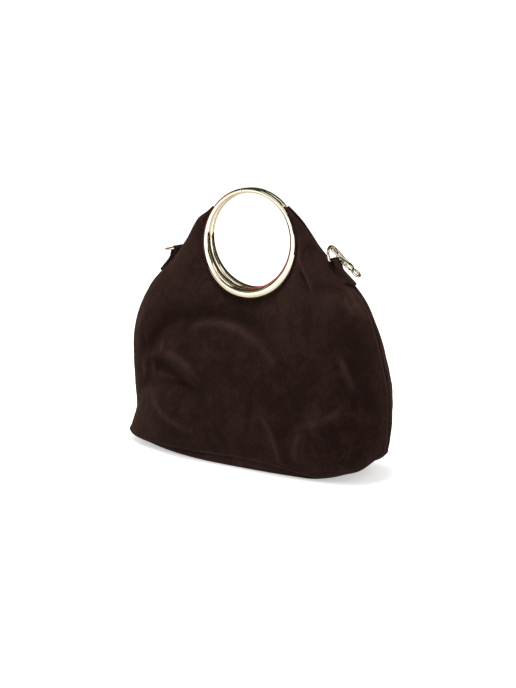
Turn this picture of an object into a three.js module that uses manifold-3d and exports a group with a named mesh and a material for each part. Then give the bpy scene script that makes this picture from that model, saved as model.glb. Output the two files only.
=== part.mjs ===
// A soft suede handbag with two metal ring handles. A front and a back panel are sewn to each other down the
// sides and to a narrow base below. Each panel's upper edge is tucked into a groove round its ring handle.
// Suede tabs over the side seams hold D-rings for a strap, and a trigger hook is clipped on the right one.
// Millimetres, +Z up, +X to the bag's right, the front towards -Y. The origin is mid-base, on the floor.
import * as THREE from "three";
import { mergeVertices } from "three/addons/utils/BufferGeometryUtils.js";
import Module from "manifold-3d";

const wasm = await Module();
wasm.setup();

// Driving dimensions, in millimetres and degrees
const clearance = 0.3; // between pieces that meet
const suedeWall = 1.8;

const handle = {
  centreX: -1.7,
  centreHeight: 224,
  holeRadius: 46.5,
  topWire: 2.6, // the wire's radius at the top of the ring, and at the bottom
  bottomWire: 6,
  taper: 1.8, // how late round the ring the wire thickens
  gap: 0.8, // between the two rings
  grooveDepth: 1.5,
  wireSides: 10,
  freeSteps: 12, // round the upper part, above the suede
};

const base = {
  halfDepth: 38,
  rimHeight: 11,
  squareness: { left: 2.1, right: 2.6 }, // of its outline: 2 is an ellipse, more is boxier
  tipCurl: { left: 4, right: 5 }, // how late along the base its ends begin to rise
  steps: 16, // along the front edge
  crowding: 0.3, // of the steps towards the ends: 0 is even
};

const tab = {
  topHeight: { left: 209, right: 206.5 }, // where the D-ring's bar lies over the outline
  length: 32, // from the bar to the lower end
  drop: 22, // of the outline beneath it
  width: 15, // at the bar, and at the rounded lower end
  endWidth: 19,
  flareStart: 9, // from the bar to where it begins to widen
  wall: 1.2,
  foldSlope: 16, // of the upper layer, from over the bar down to the lower layer
};

const dRing = {
  wire: 1.3,
  leg: 4.5, // from the bar to where the arc begins
  corner: 2,
  leftSwing: 38, // from lying down along the tab
  rightSwing: 146,
  sides: 8,
};

const hook = {
  wire: 1.1,
  holeHalfWidth: 2.9,
  bight: -2, // places along the hook, from the D-ring's wire
  clawEnd: 3,
  tip: 4.6,
  spineBend: 10,
  pivot: 14.7,
  barrelStart: 17.2,
  spineEnd: 19.7,
  cheekEnd: 21.2,
  barrelEnd: 22.7,
  eyeCentre: 28.5,
  pivotSide: 3.9, // from the long axis to the lever's pivot
  spineSide: 3.1, // from the long axis to the spine beside the barrel
  barrelRadius: 2.9,
  barrelChamfer: 0.5,
  boreRadius: 1.2,
  cheekThickness: 0.9,
  cheekRadius: 1.7,
  cheekFoot: [1, 2.6], // from the long axis, where a cheek is soldered along the barrel
  pinRadius: 0.7,
};

const lever = {
  thickness: 2.2,
  halfWidth: 1,
  pivotRadius: 1.8,
  knob: { start: 7.6, from: 8.2, to: 9.6, end: 10.4, rise: 2.7 }, // places along the hook
};

const eye = {
  halfLength: 4.6,
  halfWidth: 4.6,
  wire: 1.1,
  stemRadius: 0.9,
  collarRadius: 2.2, // next to the barrel, and then at the loop
  neckRadius: 1.6,
  neckLap: 0.3,
  headRadius: 1.6, // of the stem's riveted end
  headLength: 1.2,
  headChamfer: 0.5,
};

// The outline from the front: half-widths to each side, by height, from the ring to the base's tips
const outlineRows = {
  left: [
    { height: 250, halfWidth: 51 },
    { height: 243, halfWidth: 61.5 },
    { height: 231, halfWidth: 71 },
    { height: 217, halfWidth: 80.5 },
    { height: 202, halfWidth: 92 },
    { height: 187, halfWidth: 107 },
    { height: 170, halfWidth: 122 },
    { height: 146, halfWidth: 134.5 },
    { height: 116, halfWidth: 142 },
    { height: 86, halfWidth: 144 },
    { height: 56, halfWidth: 144 },
    { height: 30, halfWidth: 143 },
    { height: 14, halfWidth: 156 },
  ],
  right: [
    { height: 252, halfWidth: 46 },
    { height: 241, halfWidth: 58 },
    { height: 229, halfWidth: 68 },
    { height: 216, halfWidth: 78 },
    { height: 202, halfWidth: 91.5 },
    { height: 187, halfWidth: 109 },
    { height: 170, halfWidth: 123 },
    { height: 146, halfWidth: 133.5 },
    { height: 116, halfWidth: 142.5 },
    { height: 86, halfWidth: 148.5 },
    { height: 60, halfWidth: 149.5 },
    { height: 40, halfWidth: 149 },
    { height: 28, halfWidth: 146.5 },
  ],
};
const sideSteps = 16; // columns of a panel from the ring's tip to the base's tip
const shoulderSteps = 4; // of these, the ones along the shoulder's free edge
const panelRows = 12; // from the ring to the outline
const collarWidth = 2; // of the flat part of a panel next to its ring
const nearReach = 0.3; // how far out along a column its first bulge is

// How far a panel stands out along a column, near the ring and far from it, and how far out the second place
// is. Stage 0 is at the ring's tip, 1 at the top of the side seam, 2 at the base's tip and 3 mid-base.
const bulgeRows = {
  left: [
    { stage: 0, near: 4.4, far: 4.2, reach: 0.67 },
    { stage: 1, near: 10, far: 13, reach: 0.92 },
    { stage: 1.5, near: 24, far: 40, reach: 1 },
    { stage: 2, near: 36, far: 30, reach: 0.9 },
    { stage: 2.4, near: 30, far: 58, reach: 0.84 },
    { stage: 3, near: 26, far: 62, reach: 0.74 },
  ],
  right: [
    { stage: 0, near: 4.4, far: 4.2, reach: 0.67 },
    { stage: 1, near: 10, far: 13, reach: 0.92 },
    { stage: 1.5, near: 24, far: 42, reach: 1 },
    { stage: 2, near: 36, far: 56, reach: 1 },
    { stage: 2.4, near: 28, far: 63, reach: 0.84 },
    { stage: 3, near: 26, far: 62, reach: 0.74 },
  ],
};

// Folds and dents on each panel, as curves seen from its own front: x right, z up, rise out of the panel
const foldRows = {
  front: [
    { name: "ridge beside the ring", from: [55, 230], via: [56, 205], to: [79, 184], width: 7, rise: 4 },
    { name: "dimple by the right tab", from: [73, 224], via: [69, 214], to: [74, 205], width: 8, rise: -4 },
    { name: "valley inside that ridge", from: [60, 208], via: [62, 195], to: [73, 178], width: 7, rise: -4 },
    { name: "hollow, upper left", from: [-106, 110], via: [-90, 147], to: [-50, 144], width: 14, rise: -5 },
    { name: "arc under the ring", from: [-56, 143], via: [-8, 158], to: [44, 124], width: 8, rise: -5 },
    { name: "lip under that arc", from: [-54, 134], via: [-10, 154], to: [46, 106], width: 9, rise: 4 },
    { name: "ridge over the dents", from: [-110, 98], via: [-83, 118], to: [-44, 84], width: 8, rise: 4 },
    { name: "upper dent at the left", from: [-98, 94], via: [-82, 93], to: [-58, 82], width: 8, rise: -5 },
    { name: "lower dent at the left", from: [-110, 74], via: [-65, 84], to: [-26, 70], width: 10, rise: -6 },
    { name: "crease at the lower left", from: [-97, 63], via: [-78, 42], to: [-40, 36], width: 8, rise: 4 },
    { name: "crease above the base", from: [38, 62], via: [56, 46], to: [60, 17], width: 8, rise: 4 },
    { name: "slack at the right", from: [80, 55], via: [106, 58], to: [120, 80], width: 9, rise: 3 },
    { name: "pull below the tab", from: [100, 184], via: [106, 160], to: [128, 138], width: 8, rise: 3 },
  ],
  back: [
    { name: "arc under the ring", from: [-52, 140], via: [8, 158], to: [84, 126], width: 12, rise: -5 },
    { name: "dent at the right", from: [52, 70], via: [84, 76], to: [112, 62], width: 14, rise: -6 },
    { name: "crease above the base", from: [-30, 66], via: [-44, 36], to: [-68, 12], width: 11, rise: 4 },
    { name: "pull below the tab", from: [-96, 180], via: [-98, 150], to: [-112, 116], width: 10, rise: 3 },
  ],
};
const foldSamples = 14;
const foldFade = 0.12; // how far into its fade a fold begins
const calmRows = { ring: 3, edge: 2 }; // rows over which folds die out, next to the ring and to the outline

// Materials
const suede = new THREE.MeshStandardMaterial({ color: 0x3b2a26, roughness: 0.95, metalness: 0 });
const gold = new THREE.MeshStandardMaterial({ color: 0xd9c7a0, roughness: 0.15, metalness: 1 });

// Small helpers
const radians = THREE.MathUtils.degToRad;
const lerp = THREE.MathUtils.lerp;

function catmullRom(rows, key, name, at) {
  const last = rows.length - 1;
  let i = rows.findIndex((row, k) => k < last && at <= rows[k + 1][key]);
  if (i < 0) i = last - 1;
  const span = rows[i + 1][key] - rows[i][key];
  const t = (at - rows[i][key]) / span;
  const slope = (k) => {
    const a = rows[Math.max(k - 1, 0)];
    const b = rows[Math.min(k + 1, last)];
    return (b[name] - a[name]) / (b[key] - a[key]);
  };
  const p0 = rows[i][name];
  const p1 = rows[i + 1][name];
  const m0 = slope(i) * span;
  const m1 = slope(i + 1) * span;
  const t2 = t * t;
  const t3 = t2 * t;
  return (2 * t3 - 3 * t2 + 1) * p0 + (t3 - 2 * t2 + t) * m0 + (3 * t2 - 2 * t3) * p1 + (t3 - t2) * m1;
}

function closedGeometry(points, triangles) {
  const geometry = new THREE.BufferGeometry().setFromPoints(points);
  geometry.setIndex(triangles);
  return geometry;
}

function addQuad(triangles, a, b, c, d) {
  triangles.push(a, b, c, a, c, d);
}

function toSolid(geometry) {
  const bare = geometry.clone();
  bare.deleteAttribute("normal");
  bare.deleteAttribute("uv");
  const merged = mergeVertices(bare, 1e-4);
  const vertProperties = new Float32Array(merged.attributes.position.array);
  const triVerts = new Uint32Array(merged.index.array);
  return new wasm.Manifold(new wasm.Mesh({ numProp: 3, vertProperties, triVerts }));
}

function toGeometry(solid) {
  const mesh = solid.getMesh();
  const geometry = new THREE.BufferGeometry();
  geometry.setAttribute("position", new THREE.BufferAttribute(new Float32Array(mesh.vertProperties), 3));
  geometry.setIndex(new THREE.BufferAttribute(new Uint32Array(mesh.triVerts), 1));
  return geometry;
}

function union(geometries) {
  const solids = geometries.map(toSolid);
  return toGeometry(solids.reduce((whole, solid) => whole.add(solid)));
}

function makeMesh(name, geometry, material) {
  const mesh = new THREE.Mesh(geometry, material);
  mesh.name = name;
  return mesh;
}

// Outline and base edge
function outlineCurve(side) {
  const points = outlineRows[side].map((row) => new THREE.Vector2(row.halfWidth, row.height));
  return new THREE.SplineCurve(points);
}

function outlineTip(side) {
  return outlineRows[side].at(-1);
}

function outlineAtHeight(side, height) {
  const curve = outlineCurve(side);
  let low = 0;
  let high = 1;
  for (let i = 0; i < 40; i += 1) {
    const middle = (low + high) / 2;
    if (curve.getPoint(middle).y > height) low = middle;
    else high = middle;
  }
  return curve.getPoint(low);
}

function baseEdge(x) {
  const side = x < 0 ? "left" : "right";
  const tip = outlineTip(side);
  const across = Math.min(Math.abs(x) / tip.halfWidth, 1);
  const depth = base.halfDepth * Math.sqrt(1 - across ** base.squareness[side]);
  const height = lerp(base.rimHeight, tip.height, across ** base.tipCurl[side]);
  return { depth, height };
}

// A panel's columns run from the left ring tip, down the left side, along the base and up the right side
function sideColumns(side) {
  const sign = side === "left" ? -1 : 1;
  const points = outlineCurve(side).getSpacedPoints(sideSteps);
  const tipDepth = ringAt(ringAngle(sign * points[0].x, points[0].y)).depth;
  return points.map((point, i) => {
    const onShoulder = i < shoulderSteps;
    const along = onShoulder ? i / shoulderSteps : (i - shoulderSteps) / (sideSteps - shoulderSteps);
    const stage = onShoulder ? along : 1 + along;
    const shoulderDepth = lerp(tipDepth, suedeWall / 2 + clearance, along);
    const depth = onShoulder ? shoulderDepth : clearance / 2;
    return { x: sign * point.x, height: point.y, depth, stage };
  });
}

function baseColumns() {
  const columns = [];
  const leftTip = outlineTip("left");
  const rightTip = outlineTip("right");
  for (let i = 1; i < base.steps; i += 1) {
    const along = i / base.steps;
    const across = lerp(2 * along - 1, -Math.cos(along * Math.PI), base.crowding);
    const x = across * (across < 0 ? leftTip.halfWidth : rightTip.halfWidth);
    const edge = baseEdge(x);
    columns.push({ x, height: edge.height, depth: edge.depth, stage: 3 - Math.abs(across) });
  }
  return columns;
}

const columns = [...sideColumns("left"), ...baseColumns(), ...sideColumns("right").reverse()];
for (const column of columns) {
  column.angle = ringAngle(column.x, column.height);
  if (column.angle < Math.PI / 4) column.angle += 2 * Math.PI;
  if (column.x > 0 && column.angle < Math.PI) column.angle += 2 * Math.PI;
}

// Ring handles
function ringAngle(x, height) {
  return Math.atan2(height - handle.centreHeight, x - handle.centreX);
}

function ringAt(angle) {
  const low = (1 - Math.sin(angle)) / 2;
  const wire = lerp(handle.topWire, handle.bottomWire, low ** handle.taper);
  const depth = wire + handle.gap / 2; // from the bag's middle plane to the ring's
  const grooveAngle = Math.asin((suedeWall / 2 + clearance) / wire);
  const middle = handle.holeRadius + wire;
  const grooveFloor = middle + wire * Math.cos(grooveAngle) - handle.grooveDepth;
  return { wire, depth, grooveAngle, middle, grooveFloor, outer: middle + wire };
}

function ringPoint(angle, radius, depth) {
  return new THREE.Vector3(
    handle.centreX + radius * Math.cos(angle),
    -depth,
    handle.centreHeight + radius * Math.sin(angle),
  );
}

function ringSection(angle, grooved) {
  const ring = ringAt(angle);
  const section = [];
  for (let i = 0; i < handle.wireSides; i += 1) {
    const turn = lerp(ring.grooveAngle, 2 * Math.PI - ring.grooveAngle, i / (handle.wireSides - 1));
    section.push({ radius: ring.middle + ring.wire * Math.cos(turn), depth: ring.wire * Math.sin(turn) });
  }
  for (const sign of [-1, 1]) {
    const crest = (sign * ring.grooveAngle) / 3;
    const half = sign * (suedeWall / 2 + clearance);
    const crestRadius = ring.middle + ring.wire * Math.cos(crest);
    section.push({
      radius: grooved ? ring.grooveFloor : crestRadius,
      depth: grooved ? half : ring.wire * Math.sin(crest),
    });
  }
  return section.map((place) => ringPoint(angle, place.radius, ring.depth + place.depth));
}

function ringGeometry() {
  const stations = columns.map((column) => ({ angle: column.angle, grooved: true }));
  const start = columns.at(-1).angle;
  const sweep = columns[0].angle + 2 * Math.PI - start;
  for (let i = 1; i < handle.freeSteps; i += 1) {
    stations.push({ angle: start + (sweep * i) / handle.freeSteps, grooved: false });
  }
  const points = stations.flatMap((station) => ringSection(station.angle, station.grooved));
  const sides = points.length / stations.length;
  const triangles = [];
  for (let i = 0; i < stations.length; i += 1) {
    const next = (i + 1) % stations.length;
    for (let j = 0; j < sides; j += 1) {
      const beside = (j + 1) % sides;
      addQuad(triangles, i * sides + j, next * sides + j, next * sides + beside, i * sides + beside);
    }
  }
  return closedGeometry(points, triangles);
}

// Suede panels
function foldCurves(rows) {
  return rows.map((row) => {
    const ends = [row.from, row.via, row.to].map((place) => new THREE.Vector2(...place));
    const path = new THREE.QuadraticBezierCurve(...ends).getPoints(foldSamples);
    return { path, width: row.width, rise: row.rise };
  });
}

function foldRise(folds, x, z) {
  const place = new THREE.Vector2(x, z);
  let rise = 0;
  for (const fold of folds) {
    let best = 0;
    fold.path.forEach((point, i) => {
      const along = i / foldSamples;
      const fade = Math.sin(Math.PI * lerp(foldFade, 1 - foldFade, along));
      const away = place.distanceTo(point) / fold.width;
      best = Math.max(best, fade * Math.exp(-away * away));
    });
    rise += fold.rise * best;
  }
  return rise;
}

function panelPoint(column, row) {
  const ring = ringAt(column.angle);
  if (row === 0) return ringPoint(column.angle, ring.grooveFloor + clearance, ring.depth);
  const collar = ringPoint(column.angle, ring.outer + collarWidth, ring.depth);
  const edge = new THREE.Vector3(column.x, -column.depth, column.height);
  const rows = bulgeRows[column.x < 0 ? "left" : "right"];
  const reach = catmullRom(rows, "stage", "reach", column.stage);
  const near = collar.clone().lerp(edge, nearReach);
  near.y = -catmullRom(rows, "stage", "near", column.stage);
  const far = collar.clone().lerp(edge, reach);
  far.y = -catmullRom(rows, "stage", "far", column.stage);
  return new THREE.CubicBezierCurve3(collar, near, far, edge).getPoint((row - 1) / (panelRows - 1));
}

function panelNormal(grid, i, j) {
  const column = columns[i];
  if (j <= 1) return new THREE.Vector3(0, -1, 0);
  const before = grid[Math.max(i - 1, 0)][j];
  const after = grid[Math.min(i + 1, columns.length - 1)][j];
  const inside = grid[i][j - 1];
  const outside = grid[i][Math.min(j + 1, panelRows)];
  const normal = outside.clone().sub(inside).cross(after.clone().sub(before)).normalize();
  if (j === panelRows && column.stage >= 1 && column.stage <= 2) normal.y = 0;
  if (j === panelRows && column.stage > 2) normal.z = 0;
  return normal.normalize();
}

function panelGrid(folds) {
  const grid = columns.map((column) => {
    const points = [];
    for (let row = 0; row <= panelRows; row += 1) points.push(panelPoint(column, row));
    return points;
  });
  return grid.map((points, i) => points.map((point, j) => {
    const fromEdges = Math.min(j / calmRows.ring, (panelRows - j) / calmRows.edge, 1);
    const rise = foldRise(folds, point.x, point.z) * fromEdges;
    return point.clone().addScaledVector(panelNormal(grid, i, j), rise);
  }));
}

function panelGeometry(rows) {
  const grid = panelGrid(foldCurves(rows));
  const points = [];
  for (const half of [suedeWall / 2, -suedeWall / 2]) {
    grid.forEach((line, i) => line.forEach((point, j) => {
      const moved = point.clone().addScaledVector(panelNormal(grid, i, j), half);
      moved.y = Math.min(moved.y, -clearance / 2);
      points.push(moved);
    }));
  }
  const rowsAcross = panelRows + 1;
  const lastColumn = columns.length - 1;
  const inner = columns.length * rowsAcross;
  const at = (i, j) => i * rowsAcross + j;
  const triangles = [];
  for (let i = 0; i < lastColumn; i += 1) {
    for (let j = 0; j < panelRows; j += 1) {
      const corners = [at(i, j), at(i, j + 1), at(i + 1, j + 1), at(i + 1, j)];
      addQuad(triangles, ...corners);
      addQuad(triangles, ...corners.reverse().map((k) => k + inner));
    }
    addQuad(triangles, at(i, 0), at(i + 1, 0), at(i + 1, 0) + inner, at(i, 0) + inner);
    const a = at(i, panelRows);
    const b = at(i + 1, panelRows);
    addQuad(triangles, b, a, a + inner, b + inner);
  }
  for (let j = 0; j < panelRows; j += 1) {
    addQuad(triangles, at(0, j + 1), at(0, j), at(0, j) + inner, at(0, j + 1) + inner);
    const c = at(lastColumn, j);
    addQuad(triangles, c, c + 1, c + 1 + inner, c + inner);
  }
  return closedGeometry(points, triangles);
}

// The mirror of a piece, front to back
function mirrored(geometry) {
  const copy = geometry.clone().scale(1, -1, 1);
  const order = copy.index.array;
  for (let i = 0; i < order.length; i += 3) {
    [order[i], order[i + 1]] = [order[i + 1], order[i]];
  }
  return copy;
}

// Base: flat on the floor, its edge turned up to the seam and its ends off the floor. Rows go from the middle
// to the rim: how far out, up the rim, up with the ends, and how far the wall has turned to upright.
const baseRows = [
  { out: 0.6, up: 0, lift: 0, lean: 0 },
  { out: 0.86, up: 0, lift: 0.55, lean: 0.1 },
  { out: 0.965, up: 0.14, lift: 0.95, lean: 0.6 },
  { out: 1, up: 0.6, lift: 1, lean: 0.95 },
  { out: 1, up: 1, lift: 1, lean: 1 },
];

function baseOutline() {
  const front = columns.filter((column) => column.stage >= 2);
  const edge = front.map((column) => new THREE.Vector3(column.x, -Math.max(column.depth, 0), column.height));
  const back = front.slice(1, -1).reverse().map((column) => (
    new THREE.Vector3(column.x, column.depth, column.height)
  ));
  edge[0].y = 0;
  edge[edge.length - 1].y = 0;
  return [...edge, ...back];
}

function baseGeometry() {
  const outline = baseOutline();
  const count = outline.length;
  const points = [];
  for (const inset of [0, suedeWall]) {
    for (const row of baseRows) {
      outline.forEach((edge, k) => {
        const along = outline[(k + 1) % count].clone().sub(outline[(k + count - 1) % count]);
        const inward = new THREE.Vector3(-along.y, along.x, 0).setLength(inset * row.lean);
        const place = new THREE.Vector3(edge.x * row.out, edge.y * row.out, 0).add(inward);
        const lifted = row.lift * (edge.z - base.rimHeight) + row.up * (base.rimHeight - clearance);
        place.z = lifted + inset * (1 - row.lean);
        points.push(place);
      });
    }
  }
  const rows = baseRows.length;
  const inner = rows * count;
  const top = (rows - 1) * count;
  const triangles = [];
  for (let k = 0; k < count; k += 1) {
    const next = (k + 1) % count;
    for (let j = 0; j < top; j += count) {
      const corners = [j + k, j + next, j + count + next, j + count + k];
      addQuad(triangles, ...corners);
      addQuad(triangles, ...corners.reverse().map((i) => i + inner));
    }
    addQuad(triangles, top + k, top + next, top + next + inner, top + k + inner);
  }
  const cap = THREE.ShapeUtils.triangulateShape(points.slice(0, count), []);
  for (const [a, b, c] of cap) {
    triangles.push(a, c, b);
    triangles.push(a + inner, b + inner, c + inner);
  }
  return closedGeometry(points, triangles);
}

// Wire shapes lie in their own x-y plane, with z across the wire
function wireGeometry(path, radius, sides, closed) {
  const count = path.length;
  const points = [];
  path.forEach((place, i) => {
    const before = path[closed ? (i + count - 1) % count : Math.max(i - 1, 0)];
    const after = path[closed ? (i + 1) % count : Math.min(i + 1, count - 1)];
    const along = after.clone().sub(before).normalize();
    for (let k = 0; k < sides; k += 1) {
      const turn = (2 * Math.PI * k) / sides;
      const out = radius * Math.cos(turn);
      const side = new THREE.Vector3(-along.y * out, along.x * out, radius * Math.sin(turn));
      points.push(side.add(new THREE.Vector3(place.x, place.y, 0)));
    }
  });
  const triangles = [];
  const links = closed ? count : count - 1;
  for (let i = 0; i < links; i += 1) {
    const next = (i + 1) % count;
    for (let k = 0; k < sides; k += 1) {
      const beside = (k + 1) % sides;
      addQuad(triangles, i * sides + k, i * sides + beside, next * sides + beside, next * sides + k);
    }
  }
  if (!closed) {
    const end = (count - 1) * sides;
    for (let k = 1; k < sides - 1; k += 1) {
      triangles.push(0, k + 1, k);
      triangles.push(end, end + k, end + k + 1);
    }
  }
  return closedGeometry(points, triangles);
}

function arcPoints(centreX, centreY, radius, fromDegrees, toDegrees, steps) {
  const points = [];
  for (let i = 0; i <= steps; i += 1) {
    const turn = radians(lerp(fromDegrees, toDegrees, i / steps));
    points.push(new THREE.Vector2(centreX + radius * Math.cos(turn), centreY + radius * Math.sin(turn)));
  }
  return points;
}

// A flat outline in x-y, thick along z and centred there
function plateGeometry(shape, thickness, curveSegments = 8) {
  const geometry = new THREE.ExtrudeGeometry(shape, { depth: thickness, bevelEnabled: false, curveSegments });
  return geometry.translate(0, 0, -thickness / 2);
}

// A turned shape about the x axis: places are [along x, radius]
function turnedGeometry(places, segments = 12) {
  const profile = places.map(([along, radius]) => new THREE.Vector2(radius, along));
  return new THREE.LatheGeometry(profile, segments).rotateZ(-Math.PI / 2);
}

// Tabs: a strip folded round the D-ring's bar, with both layers lying on the side seam. In a tab's own frame
// x runs down along it, y across it and z out from the bag, with the D-ring's bar at the origin.
const barLift = 2 * clearance + tab.wall + dRing.wire; // of the bar's middle above the panels
const tabCrest = dRing.wire + clearance + tab.wall; // of the fold above the bar's middle

function tabGeometry() {
  const bend = dRing.wire + clearance;
  const lowFace = -barLift + clearance;
  const highFace = lowFace + 2 * tab.wall + clearance;
  const slope = radians(tab.foldSlope);
  const slopeEnd = (radius, floor) => (
    new THREE.Vector2(radius * Math.sin(slope) + (radius * Math.cos(slope) - floor) / Math.tan(slope), floor)
  );
  const profile = [
    new THREE.Vector2(tab.length, lowFace),
    ...arcPoints(0, 0, tabCrest, -90, -270 - tab.foldSlope, 10),
    slopeEnd(tabCrest, highFace),
    new THREE.Vector2(tab.length, highFace),
    new THREE.Vector2(tab.length, highFace - tab.wall),
    slopeEnd(bend, highFace - tab.wall),
    ...arcPoints(0, 0, bend, 90 - tab.foldSlope, 270, 9),
    new THREE.Vector2(tab.length, lowFace + tab.wall),
  ];
  const half = tab.width / 2;
  const endHalf = tab.endWidth / 2;
  const margin = 1;
  const strip = plateGeometry(new THREE.Shape(profile), tab.endWidth + margin).rotateX(Math.PI / 2);
  const plan = new THREE.Shape();
  plan.moveTo(-tabCrest - margin, -half);
  plan.lineTo(tab.flareStart, -half);
  plan.absarc(tab.length - endHalf, 0, endHalf, -Math.PI / 2, Math.PI / 2);
  plan.lineTo(tab.flareStart, half);
  plan.lineTo(-tabCrest - margin, half);
  const rounded = plateGeometry(plan, 4 * tabCrest);
  return toGeometry(toSolid(strip).intersect(toSolid(rounded)));
}

// D-rings: the bar along y, the arc out along x
const dHalf = tab.width / 2 + clearance + dRing.wire;

function dRingGeometry() {
  const corner = dRing.corner;
  const path = [
    ...arcPoints(corner, corner - dHalf, corner, 180, 270, 3),
    ...arcPoints(dRing.leg, 0, dHalf, -90, 90, 14),
    ...arcPoints(corner, dHalf - corner, corner, 90, 180, 3),
  ];
  return wireGeometry(path, dRing.wire, dRing.sides, true);
}

// Trigger hook: it lies flat over the tab's fold. In its own frame x runs from the D-ring's wire to the eye,
// y towards the lever and z through its thickness.
const hookLift = tabCrest + clearance + hook.wire; // of the hook's middle above the D-ring's bar
const clawSide = hook.holeHalfWidth + hook.wire; // of the claw's wire from the long axis

function hookBodyGeometry() {
  const spine = new THREE.SplineCurve([
    new THREE.Vector2(hook.spineEnd, -hook.spineSide),
    new THREE.Vector2(hook.spineBend, -hook.spineSide),
    new THREE.Vector2(hook.clawEnd, -clawSide),
    new THREE.Vector2(hook.bight, -clawSide),
  ]).getPoints(9);
  const bight = arcPoints(hook.bight, 0, clawSide, -90, -270, 9).slice(1);
  const tip = new THREE.Vector2(hook.tip, clawSide);
  const claw = wireGeometry([...spine, ...bight, tip], hook.wire, 8, false);

  const barrel = turnedGeometry([
    [hook.barrelStart, hook.boreRadius],
    [hook.barrelStart, hook.barrelRadius],
    [hook.barrelEnd - hook.barrelChamfer, hook.barrelRadius],
    [hook.barrelEnd, hook.barrelRadius - hook.barrelChamfer],
    [hook.barrelEnd, hook.boreRadius],
    [hook.barrelStart, hook.boreRadius],
  ]);

  const cheek = new THREE.Shape();
  const [footLow, footHigh] = hook.cheekFoot;
  cheek.moveTo(hook.cheekEnd, footLow);
  cheek.lineTo(hook.cheekEnd, footHigh);
  cheek.absarc(hook.pivot, hook.pivotSide, hook.cheekRadius, Math.PI / 2, 1.5 * Math.PI);
  const cheekPlace = lever.thickness / 2 + clearance + hook.cheekThickness / 2;
  const cheeks = [-1, 1].map((sign) => (
    plateGeometry(cheek, hook.cheekThickness).translate(0, 0, sign * cheekPlace)
  ));
  const pinLength = 2 * cheekPlace + hook.cheekThickness;
  const pin = new THREE.CylinderGeometry(hook.pinRadius, hook.pinRadius, pinLength, 10).rotateX(Math.PI / 2);
  pin.translate(hook.pivot, hook.pivotSide, 0);
  return union([claw, barrel, ...cheeks, pin]);
}

function hookLeverGeometry() {
  const end = hook.tip + clearance;
  const { knob } = lever;
  const outer = new THREE.Shape();
  outer.moveTo(end, clawSide - lever.halfWidth);
  outer.lineTo(hook.pivot, hook.pivotSide - lever.pivotRadius);
  outer.absarc(hook.pivot, hook.pivotSide, lever.pivotRadius, -Math.PI / 2, Math.PI / 2);
  outer.lineTo(knob.end, clawSide + lever.halfWidth);
  outer.lineTo(knob.to, clawSide + knob.rise);
  outer.lineTo(knob.from, clawSide + knob.rise);
  outer.lineTo(knob.start, clawSide + lever.halfWidth);
  outer.lineTo(end, clawSide + lever.halfWidth);
  const bore = new THREE.Path();
  bore.absarc(hook.pivot, hook.pivotSide, hook.pinRadius + clearance, 0, 2 * Math.PI);
  outer.holes.push(bore);
  return plateGeometry(outer, lever.thickness, 6);
}

function hookEyeGeometry() {
  const loop = arcPoints(0, 0, 1, 0, 360, 18).slice(1).map((place) => (
    new THREE.Vector2(hook.eyeCentre + eye.halfLength * place.x, eye.halfWidth * place.y)
  ));
  const ring = wireGeometry(loop, eye.wire, 8, true);
  const headEnd = hook.barrelStart - clearance;
  const collarStart = hook.barrelEnd + clearance;
  const neckEnd = hook.eyeCentre - eye.halfLength + eye.neckLap;
  const stem = turnedGeometry([
    [headEnd - eye.headLength, 0],
    [headEnd - eye.headLength, eye.headRadius - eye.headChamfer],
    [headEnd - eye.headLength + eye.headChamfer, eye.headRadius],
    [headEnd, eye.headRadius],
    [headEnd, eye.stemRadius],
    [collarStart, eye.stemRadius],
    [collarStart, eye.collarRadius],
    [neckEnd, eye.neckRadius],
    [neckEnd, 0],
  ]);
  return union([ring, stem]);
}

// A side's frame: its origin on the D-ring's bar, x down along the tab, z out from the bag
function sideGroup(side) {
  const group = new THREE.Group();
  const top = outlineAtHeight(side, tab.topHeight[side]);
  const low = outlineAtHeight(side, tab.topHeight[side] - tab.drop);
  const slope = Math.atan2(top.y - low.y, low.x - top.x);
  const outward = new THREE.Vector2(Math.sin(slope), Math.cos(slope));
  const samples = 8;
  let crown = 0; // of the outline over the tab's straight underside
  for (let i = 1; i < samples; i += 1) {
    const point = outlineAtHeight(side, lerp(top.y, low.y, i / samples));
    crown = Math.max(crown, point.sub(top).dot(outward));
  }
  const { x, y: z } = top.clone().addScaledVector(outward, crown + suedeWall / 2 + barLift);
  group.position.set(side === "left" ? -x : x, 0, z);
  group.rotation.set(0, slope, side === "left" ? Math.PI : 0, "ZYX");
  return group;
}

// Assembly
const group = new THREE.Group();

const frontPanel = panelGeometry(foldRows.front);
const backPanel = mirrored(panelGeometry(foldRows.back));
group.add(makeMesh("front_panel", frontPanel, suede));
group.add(makeMesh("back_panel", backPanel, suede));
group.add(makeMesh("base_panel", baseGeometry(), suede));

const frontRing = ringGeometry();
group.add(makeMesh("front_ring", frontRing, gold));
group.add(makeMesh("back_ring", mirrored(frontRing), gold));

for (const side of ["left", "right"]) {
  const place = sideGroup(side);
  place.add(makeMesh(`${side}_tab`, tabGeometry(), suede));
  const ring = makeMesh(`${side}_d_ring`, dRingGeometry(), gold);
  ring.rotation.y = -radians(side === "left" ? dRing.leftSwing : dRing.rightSwing);
  place.add(ring);
  group.add(place);

  if (side === "right") {
    const swing = radians(dRing.rightSwing);
    const reach = hookLift / Math.sin(swing); // from the bar to where the D-ring runs through the claw
    const across = Math.sqrt(dHalf ** 2 - (reach - dRing.leg) ** 2);
    const hookPlace = new THREE.Group();
    hookPlace.position.set(reach * Math.cos(swing), across, hookLift);
    hookPlace.rotation.x = Math.PI;
    hookPlace.add(makeMesh("hook_body", hookBodyGeometry(), gold));
    hookPlace.add(makeMesh("hook_lever", hookLeverGeometry(), gold));
    hookPlace.add(makeMesh("hook_eye", hookEyeGeometry(), gold));
    place.add(hookPlace);
  }
}

export default group;
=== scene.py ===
import math

import bpy
import numpy as np
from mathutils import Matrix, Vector, noise


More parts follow.
